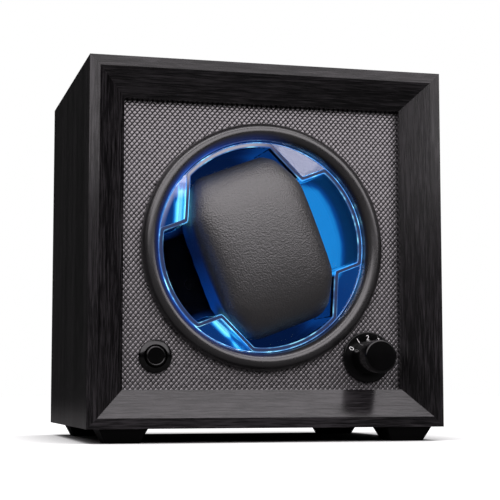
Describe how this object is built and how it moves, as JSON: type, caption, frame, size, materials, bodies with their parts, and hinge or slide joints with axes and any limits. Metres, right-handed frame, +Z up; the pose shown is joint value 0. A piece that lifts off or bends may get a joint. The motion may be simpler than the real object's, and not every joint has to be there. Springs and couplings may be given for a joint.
{
  "type": "watch winder box",
  "caption": "Square black ash box with a bevelled front frame, a ring holding a clear lit cup that turns a watch pillow, a push button and a numbered rotary knob.",
  "frame": {"origin": "middle of the model's footprint, on the plane that the feet stand on", "axes": "+Z up; the front with the ring, button and knob faces -Y; +X is to the right as seen from the front"},
  "size_m": [0.16, 0.1366, 0.1662],
  "materials": {
    "black_ash": "satin black ash foil with fine straight grain",
    "raw_timber": "sawn softwood",
    "back_board": "black painted fibreboard, matt",
    "black_steel": "black zinc plated",
    "fibreboard": "raw fibreboard",
    "woven_covering": "diamond weave with a light raised cross point",
    "foot_plastic": "moulded, satin black",
    "ring_satin": "satin black",
    "housing_plastic": "smooth moulded, near black",
    "zinc_steel": "bright zinc plated",
    "led_mask": "black solder mask, lit blue by its LEDs",
    "led_lens": "clear lens over blue die",
    "clear_plastic": "clear moulded, polished",
    "ground_steel": "ground",
    "bronze": "sintered bronze, oiled",
    "pulley_plastic": "moulded acetal",
    "belt_rubber": "matt",
    "gearbox_metal": "die cast",
    "bracket_steel": "pressed and plated",
    "leatherette": "fine pebbled, dark grey",
    "foam": "open cell foam",
    "gloss_black": "gloss black",
    "dial_black": "satin black with white numbers",
    "spring_steel": "drawn wire",
    "switch_plastic": "moulded black",
    "green_board": "green solder mask",
    "chip_plastic": "moulded black",
    "lead_sheath": "flexible sheath"
  },
  "bodies": {
    "cabinet": {"cabinet_top_board": "black_ash", "cabinet_bottom_board": "black_ash", "cabinet_left_board": "black_ash", "cabinet_right_board": "black_ash", "corner_posts": "raw_timber", "back_panel": "back_board", "back_panel_screws": "black_steel", "frame_moulding_top": "black_ash", "frame_moulding_bottom": "black_ash", "frame_moulding_left": "black_ash", "frame_moulding_right": "black_ash", "front_panel_board": "fibreboard", "front_panel_covering": "woven_covering", "foot_front_left": "foot_plastic", "foot_front_right": "foot_plastic", "foot_rear_left": "foot_plastic", "foot_rear_right": "foot_plastic", "foot_screws": "black_steel", "bezel_ring": "ring_satin", "rotor_housing": "housing_plastic", "rotor_housing_screws": "zinc_steel", "led_board": "led_mask", "led_chips": "led_lens", "led_board_screws": "black_steel", "axle_bush_front": "bronze", "axle_bush_rear": "bronze", "drive_belt": "belt_rubber", "motor_gearbox": "gearbox_metal", "motor_can": "zinc_steel", "motor_bracket": "bracket_steel", "motor_screws": "zinc_steel", "bracket_screws": "zinc_steel", "button_bezel": "gloss_black", "button_spring": "spring_steel", "button_switch": "switch_plastic", "button_nut": "zinc_steel", "speed_dial": "dial_black", "rotary_switch": "switch_plastic", "rotary_switch_nut": "zinc_steel", "control_board": "green_board", "board_components": "chip_plastic", "board_standoffs": "bronze", "board_screws": "zinc_steel", "dc_inlet": "switch_plastic", "dc_inlet_nut": "zinc_steel", "inner_leads": "lead_sheath"},
    "rotor": {"clear_cup": "clear_plastic", "turntable": "housing_plastic", "cup_screws": "zinc_steel", "rotor_axle": "ground_steel", "drive_pulley": "pulley_plastic", "axle_clip": "zinc_steel"},
    "pillow": {"pillow_cover": "leatherette", "pillow_core": "foam"},
    "motor_drive": {"motor_pulley": "pulley_plastic", "motor_shaft": "ground_steel"},
    "button": {"button_cap": "gloss_black"},
    "knob": {"speed_knob": "gloss_black", "rotary_switch_shaft": "ground_steel"}
  },
  "joints": [
    {"name": "rotor_spin", "type": "hinge", "parent": "cabinet", "child": "rotor", "pos_m": [0, -0.00175, 0.0862], "axis": [0, 1, 0], "continuous": true},
    {"name": "pillow_pull", "type": "slide", "parent": "rotor", "child": "pillow", "axis": [0, -1, 0], "range_m": [0, 0.05]},
    {"name": "motor_spin", "type": "hinge", "parent": "cabinet", "child": "motor_drive", "pos_m": [0.04999, -0.00175, 0.13619], "axis": [0, 1, 0], "continuous": true},
    {"name": "button_press", "type": "slide", "parent": "cabinet", "child": "button", "axis": [0, 1, 0], "range_m": [0, 0.002], "stiffness_N_per_m": 400, "springref_m": -0.001, "deforming": ["button_spring"]},
    {"name": "knob_turn", "type": "hinge", "parent": "cabinet", "child": "knob", "pos_m": [0.0485, -0.04825, 0.0372], "axis": [0, 1, 0], "range_deg": [-60, 60]}
  ],
  "couplings": [
    {"joint": "motor_spin", "follows": "rotor_spin", "ratio": 5}
  ]
}
